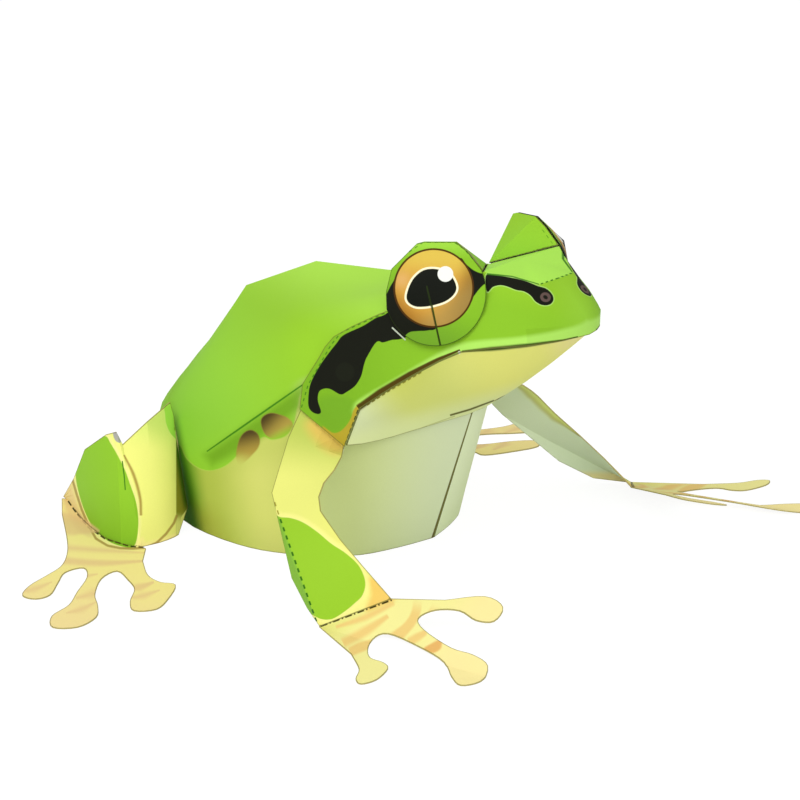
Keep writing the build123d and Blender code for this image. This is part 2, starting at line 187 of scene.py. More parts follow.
def lamp(name, place, size, power):
    data = bpy.data.lights.new(name, "AREA")
    data.energy = power
    data.size = size
    obj = bpy.data.objects.new(name, data)
    bpy.context.scene.collection.objects.link(obj)
    obj.location = Vector(place)
    aim = Vector(LAMP_AIM) - obj.location
    obj.rotation_euler = aim.to_track_quat("-Z", "Y").to_euler()


# drawing on a sheet
def hexed(text):
    """A colour written as six hex digits, as the linear values that the shader takes."""
    out = []
    for i in (0, 2, 4):
        c = int(text[i:i + 2], 16) / 255
        out.append(c / 12.92 if c <= 0.04045 else ((c + 0.055) / 1.055) ** 2.4)
    return (*out, 1.0)


def seen(view, points):
    """Coordinates of 3-D points in one of the views the print is drawn in.

    The print is the same on both sides, so the left side is looked at as if it were the right.
    "drawn" is the three-quarter view from the camera, on a square of 800 by 800. "top" looks
    down, and "solid" keeps all three coordinates.
    """
    mirrored = np.stack([points[:, 0], -np.abs(points[:, 1]), points[:, 2]], 1)
    if view == "solid":
        return mirrored
    if view == "top":
        return mirrored[:, :2]
    local = mirrored - EYE_POINT
    level = math.cos(TILT)
    right = np.array([math.cos(TURN), math.sin(TURN), 0.0])
    ahead = np.array([-math.sin(TURN) * level, math.cos(TURN) * level, -math.sin(TILT)])
    upward = np.cross(right, ahead)
    scale = LENS / SENSOR * PICTURE / (local @ ahead)
    middle = PICTURE / 2
    return np.stack([middle + scale * (local @ right), middle - scale * (local @ upward)], 1)


def curve(points, closed, steps=6):
    """A smooth curve through the given points."""
    p = np.array(points, float)
    if closed:
        p = np.concatenate([p[-1:], p, p[:2]])
    else:
        p = np.concatenate([[2 * p[0] - p[1]], p, [2 * p[-1] - p[-2]]])
    rows = []
    for i in range(1, len(p) - 2):
        for k in range(steps):
            t = k / steps
            rows.append(0.5 * (2 * p[i] + (p[i + 1] - p[i - 1]) * t
                        + (2 * p[i - 1] - 5 * p[i] + 4 * p[i + 1] - p[i + 2]) * t ** 2
                        + (3 * p[i] - p[i - 1] - 3 * p[i + 1] + p[i + 2]) * t ** 3))
    if not closed:
        rows.append(p[-2])
    return np.array(rows)


def along(points, line):
    """Distance of each point from a line of straight runs, and how far along it that is.

    Three values for each point: its distance from the line, which here goes on past both
    ends, its place along the line, and its distance from the line as it is. In a flat view
    the first one has a sign, so that it stays straight across the line.
    """
    gap = np.full(len(points), FAR)
    place = np.zeros(len(points))
    best = np.full(len(points), FAR)
    done = 0.0
    for k, (a, b) in enumerate(zip(line, line[1:])):
        run = b - a
        length = float(np.linalg.norm(run))
        way = run / max(length, 1 / FAR)
        free = (points - a) @ way
        on_run = np.clip(free, 0, length)
        distance = np.linalg.norm(points - a - on_run[:, None] * way, axis=1)
        low = -FAR if k == 0 else 0.0
        high = FAR if k == len(line) - 2 else length
        reached = np.clip(free, low, high)
        off = points - a - reached[:, None] * way
        wide = np.linalg.norm(off, axis=1)
        if points.shape[1] == 2:
            wide = np.where(way[0] * off[:, 1] - way[1] * off[:, 0] < 0, -wide, wide)
        better = distance < best
        best[better] = distance[better]
        gap[better] = wide[better]
        place[better] = done + reached[better]
        done += length
    return gap, place, best


def close_to(points, line):
    """Which points lie in the line's box, with NEAR added all round."""
    low, high = line.min(axis=0) - NEAR, line.max(axis=0) + NEAR
    return np.all((points > low) & (points < high), axis=1)


def signed(points, outline):
    """Distance from a closed outline, negative inside. Far outside it stays at NEAR."""
    close = close_to(points, outline)
    result = np.full(len(points), NEAR)
    points = points[close]
    distance = along(points, np.concatenate([outline, outline[:1]]))[2]
    inside = np.zeros(len(points), bool)
    x, y = points[:, 0], points[:, 1]
    for (ax, ay), (bx, by) in zip(outline, np.roll(outline, -1, axis=0)):
        if ay != by:
            cross = (ay > y) != (by > y)
            inside ^= cross & (x < (bx - ax) * (y - ay) / (by - ay) + ax)
    result[close] = np.minimum(np.where(inside, -distance, distance), NEAR)
    return result


def smooth(t):
    t = np.clip(t, 0, 1)
    return t * t * (3 - 2 * t)


# A print layer is a colour and what limits it. Each limit below is a function of the
# sheet's points that gives the values to store and how the shader reads them.
def shape(outline, soft=0.4, grow=0.0, round_it=True):
    """Ink inside an outline on the picture."""
    def make(points):
        line = curve(outline, True) if round_it else np.array(outline, float)
        return [("edge", signed(seen("drawn", points), line) - grow, soft)]
    return make


def stroke(line, width=1.2, dash=None, duty=0.5, shift=0.0, bend=False, soft=0.35, view="drawn"):
    """A drawn line. A width of several numbers tapers from its start to its end."""
    def make(points):
        path = curve(line, False) if bend else np.array(line, float)
        flat = seen(view, points)
        close = close_to(flat, path)
        gap, place = np.full(len(points), NEAR), np.full(len(points), OFF_LINE)
        gap[close], place[close], _ = along(flat[close], path)
        total = float(np.sum(np.linalg.norm(np.diff(path, axis=0), axis=1)))
        widths = np.atleast_1d(np.array(width, float))
        reach = np.interp(place, np.linspace(0, total, len(widths)), widths) / 2
        out = [
            ("band", gap / reach, soft / float(reach.min())),
            ("band", (place - total / 2) / (total / 2), max(END_SOFT, soft) / total),
        ]
        if dash:
            out.append(("dash", place / dash + shift, 0.5 - duty / 2))
        return out
    return make


def spot(centre, radius, soft=0.4, squash=1.0, tilt=0.0):
    """Ink inside an ellipse on the picture."""
    def make(points):
        q = seen("drawn", points) - np.array(centre, float)
        c, s = math.cos(math.radians(tilt)), math.sin(math.radians(tilt))
        q = np.stack([q[:, 0] * c + q[:, 1] * s, (q[:, 1] * c - q[:, 0] * s) / squash], 1)
        return [("edge", np.linalg.norm(q, axis=1) - radius, soft)]
    return make


def fade(start, end, view="drawn"):
    """Nothing at start, all the ink at end, and smoothly between them."""
    def make(points):
        a, b = np.array(start, float), np.array(end, float)
        t = ((seen(view, points) - a) @ (b - a)) / ((b - a) @ (b - a))
        return [("share", smooth(t), 1.0)]
    return make


def past(axis, place, way, soft):
    """Ink on one side of a place on an axis: towards its plus end if way is 1, else -1."""
    def make(points):
        return [("share", smooth(0.5 + way * (points[:, axis] - place) / soft), 1.0)]
    return make


def behind(place, soft):
    return past(0, place, -1, soft)


def ahead_of(place, soft):
    return past(0, place, 1, soft)


def below(height, soft):
    return past(2, height, -1, soft)


def above(height, soft):
    return past(2, height, 1, soft)


def half(sign):
    """One side of the frog only, for what isn't the same on both: 1 is the left, -1 the right."""
    def make(points):
        return [("share", (points[:, 1] * sign > 0).astype(float), 1.0)]
    return make


def chest_seam(points):
    """The dark line down the chest's middle: the printed outline of the lapped edge, widening to the ground
    as painted shadow of the gap under the lap.
    """
    return [
        ("edge", np.abs(points[:, 1]) - SEAM_HALF + SEAM_TAPER * points[:, 2], SEAM_SOFT),
        ("share", (points[:, 0] > 0).astype(float), 1.0),
    ]


def layer(colour, *limits, strength=1.0):
    return colour, limits, strength


# the sheets' meshes
SKIN = 0.02             # how far under a face the search for the card's other side starts
REACH = 2.5 * CARD      # and how far it goes
FACES_AWAY = -0.35      # the other side's normal against the face's own


def cut_edges(bm):
    """The faces that are only as wide as the card is thick: nothing lies close behind them."""
    tree = BVHTree.FromBMesh(bm)
    found = set()
    for f in bm.faces:
        start = f.calc_center_median() - f.normal * SKIN * MM
        hit = tree.ray_cast(start, -f.normal, REACH * MM)
        if hit[0] is None or hit[1].dot(f.normal) > FACES_AWAY:
            found.add(f)
    return found


def sort_faces(bm, printed):
    """Gives each face its side of the card, and marks the edges that look smooth."""
    edges = cut_edges(bm)
    for f in bm.faces:
        f.material_index = CUT if f in edges else PRINT if printed(f) else BACK
        f.smooth = True
    for e in bm.edges:
        if len(e.link_faces) == 2:
            a, b = e.link_faces
            flat = e.calc_face_angle(0) < math.radians(FOLD)
            e.smooth = a.material_index == b.material_index and flat


def soft_normal(loop):
    """The normal at a face's corner, averaged over the faces that smooth edges join to it."""
    corner_point = loop.vert
    total = Vector()
    todo, met = [loop.face], {loop.face}
    while todo:
        f = todo.pop()
        corner = next(l for l in f.loops if l.vert is corner_point)
        total += f.normal * corner.calc_angle()
        for e in (corner.edge, corner.link_loop_prev.edge):
            if e.smooth:
                for g in e.link_faces:
                    if g not in met:
                        met.add(g)
                        todo.append(g)
    return total.normalized()


def sheet_mesh(node, printed, fine):
    """The node's surface, finely divided, with its faces sorted into the card's sides."""
    bm = bmesh.new()
    bm.from_mesh(frame["nodes"][node].data)
    bmesh.ops.remove_doubles(bm, verts=bm.verts, dist=WELD * MM)
    bm.normal_update()
    sort_faces(bm, printed)
    normal_layer = bm.loops.layers.float_vector.new("soft_normal")
    for v in bm.verts:
        for loop in v.link_loops:
            loop[normal_layer] = soft_normal(loop)
    for _ in range(HALVINGS):
        long_edges = [e for e in bm.edges if e.calc_length() > fine * COARSE * MM]
        if not long_edges:
            break
        bmesh.ops.subdivide_edges(bm, edges=long_edges, cuts=1)
        bmesh.ops.triangulate(bm, faces=[f for f in bm.faces if len(f.verts) > 3])
    mesh = bpy.data.meshes.new(node + "_card")
    bm.to_mesh(mesh)
    bm.free()
    normals = np.zeros(len(mesh.loops) * 3, np.float32)
    mesh.attributes["soft_normal"].data.foreach_get("vector", normals)
    mesh.normals_split_custom_set(normals.reshape(-1, 3))
    mesh.attributes.remove(mesh.attributes["soft_normal"])
    return mesh


def rim_distance(mesh, points, side):
    """Distance of each point from the nearest cut edge of one side of the card."""
    cut, flat = set(), set()
    for p in mesh.polygons:
        if p.material_index == CUT:
            cut.update(p.vertices)
        elif p.material_index == side:
            flat.update(p.vertices)
    rim = sorted(cut & flat)
    if not rim:
        return np.full(len(points), FAR)
    tree = KDTree(len(rim))
    for k in rim:
        tree.insert(points[k], k)
    tree.balance()
    return np.array([tree.find(p)[2] for p in points])


# materials
def math_node(nodes, links, operation, value, other=0.0):
    node = nodes.new("ShaderNodeMath")
    node.operation = operation
    node.inputs[1].default_value = other
    links.new(value, node.inputs[0])
    return node.outputs[0]


def limit_nodes(nodes, links, mesh, name, kind, values, amount):
    """Stores one limit on the mesh. Returns the shader value that reads it as a share of ink."""
    stored = mesh.attributes.new(name, "FLOAT", "POINT")
    stored.data.foreach_set("value", np.asarray(values, np.float32))
    attribute = nodes.new("ShaderNodeAttribute")
    attribute.attribute_name = name
    value = attribute.outputs["Fac"]
    if kind == "share":
        return value
    if kind == "edge":
        bare, inked = amount, -amount
    elif kind == "band":
        value = math_node(nodes, links, "ABSOLUTE", value)
        bare, inked = 1.0 + amount, 1.0 - amount
    else:
        value = math_node(nodes, links, "PINGPONG", value, 0.5)
        bare, inked = amount - DASH_SOFT, amount + DASH_SOFT
    ramp = nodes.new("ShaderNodeMapRange")
    ramp.interpolation_type = "SMOOTHSTEP"
    links.new(value, ramp.inputs["Value"])
    ramp.inputs["From Min"].default_value = bare
    ramp.inputs["From Max"].default_value = inked
    ramp.inputs["To Min"].default_value = 0.0
    ramp.inputs["To Max"].default_value = 1.0
    return ramp.outputs["Result"]


def noise_bump(nodes, links, scale, detail, strength, height):
    """Noise that stays fixed to the sheet, and the bump it makes."""
    where = nodes.new("ShaderNodeTexCoord")
    noise = nodes.new("ShaderNodeTexNoise")
    noise.inputs["Scale"].default_value = scale
    noise.inputs["Detail"].default_value = detail
    links.new(where.outputs["Object"], noise.inputs["Vector"])
    bump = nodes.new("ShaderNodeBump")
    bump.inputs["Strength"].default_value = strength
    bump.inputs["Distance"].default_value = height * MM
    links.new(noise.outputs["Fac"], bump.inputs["Height"])
    return noise.outputs["Fac"], bump


def card_material(name, mesh, points, side, base, layers):
    """Printed card: the base ink, each layer over it, and the tooth of the paper."""
    material, nodes, links = shader(name)
    out = nodes.new("ShaderNodeOutputMaterial")
    bsdf = nodes.new("ShaderNodeBsdfPrincipled")
    bsdf.inputs["Roughness"].default_value = ROUGHNESS[side]
    bsdf.inputs["Specular IOR Level"].default_value = SHEEN
    links.new(bsdf.outputs[0], out.inputs[0])
    tooth, tooth_bump = noise_bump(nodes, links, *TOOTH)
    _, slow_bump = noise_bump(nodes, links, *UNEVENNESS)
    links.new(tooth_bump.outputs["Normal"], slow_bump.inputs["Normal"])
    links.new(slow_bump.outputs["Normal"], bsdf.inputs["Normal"])
    first = nodes.new("ShaderNodeRGB")
    first.outputs[0].default_value = hexed(base)
    colour = first.outputs[0]
    count = 0
    for ink, limits, strength in layers:
        share = None
        for limit in limits:
            for kind, values, amount in limit(points):
                part = limit_nodes(nodes, links, mesh, f"{name}_{count}", kind, values, amount)
                count += 1
                share = part if share is None else times(nodes, links, share, part)
        if strength != 1.0:
            share = times(nodes, links, share, strength)
        mix = nodes.new("ShaderNodeMix")
        mix.data_type = "RGBA"
        links.new(share, mix.inputs["Factor"])
        links.new(colour, mix.inputs["A"])
        mix.inputs["B"].default_value = hexed(ink)
        colour = mix.outputs["Result"]
    grain = nodes.new("ShaderNodeMix")
    grain.data_type = "RGBA"
    grain.blend_type = "MULTIPLY"
    grain.inputs["Factor"].default_value = GRAIN
    links.new(colour, grain.inputs["A"])
    links.new(tooth, grain.inputs["B"])
    links.new(grain.outputs["Result"], bsdf.inputs["Base Color"])
    return material


PAPER = "F2F3EC"        # the bare back of the card
OUTLINE = "6B6A2E"
CUT_GREEN = "8E9A58"
CUT_STRAW = "B0A468"


def sheet(node, printed, base, layers, fine, back=PAPER, back_layers=(), rim_ink=OUTLINE,
          cut=CUT_GREEN):
    """One printed sheet of card in place of its plain solid; fine is its mesh's longest edge."""
    mesh = sheet_mesh(node, printed, fine)
    points = np.zeros(len(mesh.vertices) * 3)
    mesh.vertices.foreach_get("co", points)
    points = points.reshape(-1, 3) / MM
    for side, name, ground, inks in ((PRINT, "_print", base, layers), (BACK, "_back", back, back_layers)):
        rim = rim_distance(mesh, points, side)
        border = layer(rim_ink, lambda _, rim=rim: [("edge", rim - RIM_WIDTH, RIM_SOFT)],
                       strength=RIM_STRENGTH[side])
        mesh.materials.append(card_material(node + name, mesh, points, side, ground, [*inks, border]))
    mesh.materials.append(card_material(node + "_cut", mesh, points, CUT, cut, []))
    obj = bpy.data.objects.new(node + "_card", mesh)
    bpy.context.scene.collection.objects.link(obj)
    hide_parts(node)
    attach(obj, "root")


# what tells the printed side of each sheet: a point that it closes round, or the way it faces
TRUNK_MIDDLE = (-25, 0, 30)
HEAD_MIDDLE = (30, 0, 62)
THROAT_MIDDLE = (20, 0, 58)
HOOD_MIDDLE = (30, 14, 74)
HEEL = (-63, 36, 12)
DISC_WAY = (0.32, 0.907, 0.273)
ARM_WAY = (-0.3, 0.8, 0.6)
FOOT_LEVEL = 0.5        # the flat foot's faces lie lower than this
LEVEL = 0.9             # and their normals stand upright at least this much


def on_side(place, sign):
    """A place or a direction of the left side, kept there by 1 and mirrored to the right by -1."""
    x, y, z = place
    return x, sign * y, z


def away_from(x, y, z):
    """The printed side of a sheet that closes round a point."""
    middle = Vector((x, y, z)) * MM

    def test(face):
        return (face.calc_center_median() - middle).dot(face.normal) > 0
    return test


def towards(x, y, z):
    """The printed side of a sheet that faces one way."""
    way = Vector((x, y, z))

    def test(face):
        return face.normal.dot(way) > 0
    return test


def leg_outside(sign):
    """The leg's wall closes round its heel; its foot is printed on top."""
    wall = away_from(*on_side(HEEL, sign))

    def test(face):
        if face.calc_center_median().z < FOOT_LEVEL * MM and abs(face.normal.z) > LEVEL:
            return face.normal.z > 0
        return wall(face)
    return test


# The print. Its points are measured on the picture, or in millimetres where a view is named.
LIME = "92C52B"
DARK = "14160D"
LINE = "3F7A17"         # fold lines on green

# trunk
FLANK = [(177, 445), (186, 458), (196, 467), (209, 471), (224, 467), (236, 457), (241, 447), (249, 446),
         (258, 441), (264, 437), (272, 440), (286, 436), (294, 424), (298, 405), (304, 392), (340, 380),
         (490, 380), (500, 480), (470, 580), (300, 600), (160, 560), (160, 480)]
CHEST = [(302, 380), (500, 370), (500, 580), (300, 600), (285, 500), (290, 430)]
SIDE_FOLD = [(206.8, 451.5), (303.3, 384.3)]
SIDE_SHADE = [(204, 455), (303, 385), (300, 408), (250, 446), (212, 466)]
REAR_BLOTCH = [(237, 448), (240, 438), (245, 432), (251, 430), (257, 433), (260, 440), (258, 448),
               (252, 455), (246, 461), (239, 466), (236, 457)]
FRONT_BLOTCH = [(261, 420), (265, 415), (272, 413), (281, 415), (288, 418), (293, 424), (291, 431),
                (283, 437), (273, 439), (266, 435), (262, 428)]
on_flank = shape(FLANK, soft=1.2)
in_flank = shape(FLANK, soft=1.0)
on_chest = shape(CHEST, soft=6.0)
on_rear_blotch = shape(REAR_BLOTCH, soft=1.0)
on_front_blotch = shape(FRONT_BLOTCH, soft=1.0)
BODY_INK = [
    layer("8FC93A", fade((310, 330), (190, 380))),
    layer("84BE38", fade((250, 380), (180, 440)), strength=0.8),
    layer("AEE252", fade((300, 330), (330, 262)), strength=0.8),
    layer("8FC832", fade((270, 385), (290, 420)), strength=0.7),
    layer("D2D672", on_flank),
    layer("B9C45C", on_flank, fade((262, 480), (255, 445)), strength=0.6),
    layer("B4B864", on_flank, fade((245, 505), (235, 560)), strength=0.6),
    layer("CCD793", on_chest, fade((285, 500), (330, 500))),
    layer("D0DBB3", on_chest, fade((345, 480), (455, 500))),
    # Painted shade on the flank beside the hind leg: this layer and the next darken it towards the leg.
    layer("A8B84A", in_flank, fade((262, 474), (208, 484)), strength=0.9),
    layer("5F9420", in_flank, fade((208, 480), (187, 483))),
    layer("84BA2A", behind(-52.0, 8.0)),
    layer("96962E", in_flank, fade((232, 505), (190, 524)), fade((200, 492), (196, 520)), strength=0.8),
    # Painted shade: a deep green band on the flank, hugging the hind leg's edge.
    layer("2C5A0A", fade((194, 470), (181, 473)), below(32.0, 8.0), ahead_of(-50.0, 6.0), strength=0.95),
    layer("6A9C1C", shape(SIDE_SHADE, soft=7.0, round_it=False), strength=0.85),
    layer("AC9440", on_rear_blotch, fade((244, 468), (249, 450))),
    layer("3E3018", on_rear_blotch, fade((251, 455), (245, 431)), strength=0.95),
    layer("B09A45", on_front_blotch, fade((282, 440), (276, 428))),
    layer("3A2C14", on_front_blotch, fade((281, 434), (264, 416)), strength=0.95),
    layer("3C7D12", stroke(SIDE_FOLD, width=(1.2, 1.8, 1.8, 1.4))),
    # Painted light: the chest's left half is lighter, as where more light falls on it.
    layer("E7F3C6", on_chest, half(1), strength=0.7),
    # The chest seam: a printed outline, with painted shadow where it widens to the ground.
    layer("5A4A18", chest_seam, strength=0.95),
]

# head
FOREHEAD = [(470, 265), (488, 273.2), (539.5, 284.4), (558.5, 278.2), (560, 200), (470, 200)]
STRIPE_REAR = [(385.6, 314), (375.7, 318), (362.7, 326), (343.6, 335), (336.7, 343), (328, 354),
               (319, 367), (310.7, 383), (308.4, 396), (308.7, 407), (313, 412.5), (319, 414), (321, 411),
               (318, 401), (318.7, 392.6), (323, 389), (330, 389), (340.5, 394.5), (346.6, 392),
               (355, 386), (361, 376.5), (364, 365), (367, 357), (376.5, 342), (383, 342.5), (392, 340),
               (404, 338), (425, 326), (430, 300), (405, 300)]
STRIPE_FRONT = [(486, 275), (496, 275.2), (508, 277), (524, 280.5), (538, 286), (546, 288.5), (552, 294),
                (553.5, 300), (550, 304.5), (543, 305.3), (536, 302), (530.5, 295.5), (524, 291.5),
                (516, 290), (507, 286.5), (500, 285.3), (493, 287), (487, 292)]
STRIPE_BULGE = (345, 372)
NOSTRIL = (545.5, 297.2)
LEFT_NOSTRIL_OFF = (5.3, 4.5)           # how far the left nostril lies from the right one's mirror
LIP_BAND = [(354, 404), (400, 376), (440, 352.5), (460, 344), (480, 340.5), (520, 337), (560, 330),
            (586, 321), (602, 300), (610, 316), (594, 338), (540, 352), (500, 358), (462, 361), (440, 372),
            (400, 396), (360, 416)]
MOUTH_REAR = [(358, 408), (380, 392), (410, 374), (438, 359.5), (460, 350)]
# Painted shadow: the dark line of the gap between the upper lip and the throat tucked under it.
MOUTH_GAP_SHADOW = [(462, 351.4), (500, 348.2), (530, 345), (564, 340), (578, 336.5)]
MOUTH_BREAK = (459.4, 352.6)
JAW_FOLD = [(359, 409), (344, 449)]
JAW_SHADE = [(318, 420), (331.7, 431.7), (340, 430.5), (347, 424), (353, 414), (352, 400), (335, 396),
             (320, 400)]
JAW_CORNER = [(322, 426), (332, 432.5), (339, 432), (346, 426), (351, 418), (354, 409), (361, 404),
              (358, 430), (346, 456), (335, 446)]
BEHIND_EYE = (432, 302)
BROW_LINE = [(487, 273.8), (512, 276.4), (539, 284.2)]
SNOUT_FOLD = [(539.5, 284.3), (558.2, 278.1)]
TEMPLE_FOLD = [(386, 312.5), (363, 322.5), (341, 332.5), (331, 345), (308, 385), (301, 409)]
TEMPLE_GAP = [(392, 327.5), (405.5, 340)]


def nostril(side, right, down):
    """The front stripe, which ends in the nostril, on one side of the head."""
    stripe = [(x + right, y + down) for x, y in STRIPE_FRONT]
    centre = (NOSTRIL[0] + right, NOSTRIL[1] + down)
    return [
        layer("BCE884", shape(stripe, grow=0.8, soft=0.6), half(side), strength=0.7),
        layer(DARK, shape(stripe), half(side)),
        layer("5E4C46", spot(centre, 5.4, squash=0.9, tilt=20.0), half(side)),
        layer(DARK, spot(centre, 2.6, squash=0.75, tilt=35.0, soft=0.7), half(side)),
    ]


MOUTH = [
    layer("4A3A08", stroke(MOUTH_REAR, width=(6.4, 6.2, 5.4, 4.2, 1.8))),
    # painted shadow in the gap under the upper lip
    layer("2E4A10", stroke(MOUTH_GAP_SHADOW, width=(1.8, 4.0, 3.8, 2.4, 1.0))),
    layer("F4F5EA", spot(MOUTH_BREAK, 1.7)),
    layer("2A2A14", stroke(JAW_FOLD, width=2.6, dash=6.5, duty=0.62)),
]
HEAD_INK = [
    layer("82B726", fade((528, 276), (515, 316)), strength=0.85),
    layer("78AC22", fade((450, 335), (335, 405))),
    layer("9CD440", fade((545, 300), (600, 300)), strength=0.7),
    layer("AAE455", shape(FOREHEAD, soft=0.5, round_it=False)),
    layer("A9DC5E", shape(LIP_BAND, soft=3.0)),
    layer("6FA324", shape(JAW_SHADE, soft=4.0), strength=0.8),
    layer("AE9C2C", shape(JAW_CORNER, soft=0.7)),
    layer(DARK, spot(BEHIND_EYE, 36.0)),
    *nostril(-1, 0.0, 0.0),
    *nostril(1, *LEFT_NOSTRIL_OFF),
    layer(DARK, shape(STRIPE_REAR)),
    layer("181B10", spot(STRIPE_BULGE, 9.5, soft=0.8)),
    layer(LINE, stroke(BROW_LINE, width=(1.6, 1.2, 1.0))),
    layer(LINE, stroke(SNOUT_FOLD, width=1.3, dash=5.2)),
    layer(LINE, stroke(TEMPLE_FOLD, width=1.1, dash=6.5)),
    layer("C9D3BE", stroke(TEMPLE_GAP, width=1.3)),
    *MOUTH,
]

# throat
# Painted shadow along the throat's lower edge, where it lies over the chest: a faint line, and a darker one
# at the chin.
THROAT_EDGE_SHADOW = [(345, 448), (380, 441), (420, 428.5), (455, 416)]
CHIN_EDGE_SHADOW = [(450, 415.3), (470, 409.5), (494, 400.5)]
THROAT_FOLD = [(366, 406), (390, 390.5), (422, 372)]
THROAT_INK = [
    layer("E0E078", fade((430, 400), (500, 350))),
    layer("E8DE92", fade((540, 362), (582, 340))),
    layer("C4CA58", fade((470, 372), (400, 385)), fade((420, 420), (410, 370)), strength=0.7),
    layer("C9D3A2", fade((408, 396), (364, 430))),
    layer("DAE4A4", fade((440, 398), (446, 420)), strength=0.9),
    # painted shadow under the throat's edge
    layer("7C8030", stroke(THROAT_EDGE_SHADOW, width=1.0), strength=0.4),
    layer("5A5A1C", stroke(CHIN_EDGE_SHADOW, width=(1.8, 1.8, 1.4))),
    layer("7E7A26", stroke(THROAT_FOLD, width=1.2, dash=6.0, duty=0.6)),
    *MOUTH,
]

# eye hoods
HOOD_FRONT_FOLD = [(36.2, -4.4, 79.7), (41.0, -12.2, 81.1)]
HOOD_FRONT_LINE = [(41.0, -12.2, 81.1), (44.3, -17.5, 82.0)]
HOOD_SIDE_FOLD = [(36.2, -16.9, 87.8), (39.8, -16.6, 85.7), (43.4, -16.6, 82.2)]
HOOD_INK = [
    layer("8CC83A", fade((24, -20), (34, -2), view="top"), strength=0.6),
    layer(LINE, stroke(HOOD_FRONT_FOLD, width=0.36, soft=0.1, dash=1.9, view="solid")),
    layer("2F5C12", stroke(HOOD_FRONT_LINE, width=0.5, soft=0.1, view="solid")),
    layer(LINE, stroke(HOOD_SIDE_FOLD, width=0.4, soft=0.1, dash=1.9, view="solid")),
]

# eyes
IRIS = (433.7, 288.0)
PUPIL = [(406.5, 297), (409, 287), (414, 278), (422, 271), (431, 268.8), (441, 270), (449, 273.5),
         (454, 280), (456.5, 288), (453.5, 295), (446, 301), (436, 304.6), (426, 306.6), (416, 306.6),
         (409, 303)]
LID_FOLD = [(396, 261), (423, 242.4), (454, 242.2), (463.6, 248.6), (472.8, 259), (485, 270.8)]
REAR_BLACK = [(399, 276), (393, 282), (388, 291), (383, 303), (378, 330), (394, 345), (402, 341),
              (406, 335), (411, 331.8), (420, 331), (428, 330.4), (437, 326.5), (438, 300), (420, 280)]
FRONT_BLACK = [(460, 258), (466, 264), (473, 269.8), (480, 273), (488, 274.8), (489, 282), (484, 284.5),
               (479, 289.5), (474, 296), (469, 303), (450, 300), (450, 270)]
IRIS_GLOW = (402, 280)
HIGHLIGHT = (445.4, 274)
DISC_SEAM = [(432, 305), (440.5, 346)]
in_iris = spot(IRIS, 38.4, squash=0.985)
EYE_INK = [
    layer("A4DC4A", fade((430, 262), (430, 240)), strength=0.7),
    layer("70A228", fade((450, 290), (420, 335))),
    layer(LINE, stroke(LID_FOLD, width=0.8, dash=7.0)),
    layer(DARK, shape(REAR_BLACK)),
    layer(DARK, shape(FRONT_BLACK)),
    layer("4A2E08", spot(IRIS, 40.4, squash=0.985)),
    layer("CF9C40", in_iris),
    layer("D6B84C", in_iris, fade((436, 284), (438, 256))),
    layer("6E4A08", in_iris, fade((446, 292), (474, 300)), strength=0.85),
    layer("94601A", in_iris, fade((420, 300), (404, 320)), strength=0.85),
    layer("A2884A", in_iris, fade((425, 303), (440, 322)), strength=0.7),
    layer("DDB070", in_iris, spot(IRIS_GLOW, 6.0, soft=9.0), strength=0.7),
    layer("FBF4CC", shape(PUPIL, grow=2.0)),
    layer("10130C", shape(PUPIL)),
    layer("ECF0E4", spot(HIGHLIGHT, 7.8)),
    layer("4E5E14", stroke(DISC_SEAM, width=1.4)),
]

# arms
PATCH = [(270, 517), (281, 517.3), (292, 518.4), (304, 523), (318, 532.5), (331, 543.5), (346, 553.5),
         (359, 566), (365.3, 582), (362.5, 595), (355, 603), (344, 612), (332, 619), (321, 619), (313, 615),
         (300, 606), (270, 560)]
PATCH_SHADE = [(274, 505), (279.5, 517), (318, 627), (305, 622), (262, 540), (262, 510)]
SHOULDER_SHADE = [(306, 426), (318, 420), (346, 446), (336, 454), (320, 446)]
WRIST_SHADE = [(368, 578), (384, 582), (394, 600), (382, 606), (366, 611), (371, 594)]
FINGER_TIP = [(422, 650), (434, 642), (441, 640), (441, 648), (433, 653)]
ELBOW_FOLD = [(274, 500), (279.5, 517)]
FOREARM_FOLD = [(279.5, 517), (318.4, 627)]
WRIST_FOLD = [(318, 627.3), (392, 600)]
HAND_BANDS = [          # three or more points, then the widths
    ((336, 627), (366, 617), (394, 603), (3, 6, 4)),
    ((343, 643), (364, 632), (388, 616), (9, 9, 4)),
    ((350, 652), (361, 647), (373, 643), (9, 10, 8)),
    ((418, 598), (416, 612), (409, 625), (392, 641), (9, 9, 10, 14)),
    ((439, 598), (436, 606), (431, 614), (9, 9, 8)),
    ((409, 642), (416, 638), (426, 632), (8, 8, 5)),
]
on_patch = shape(PATCH)
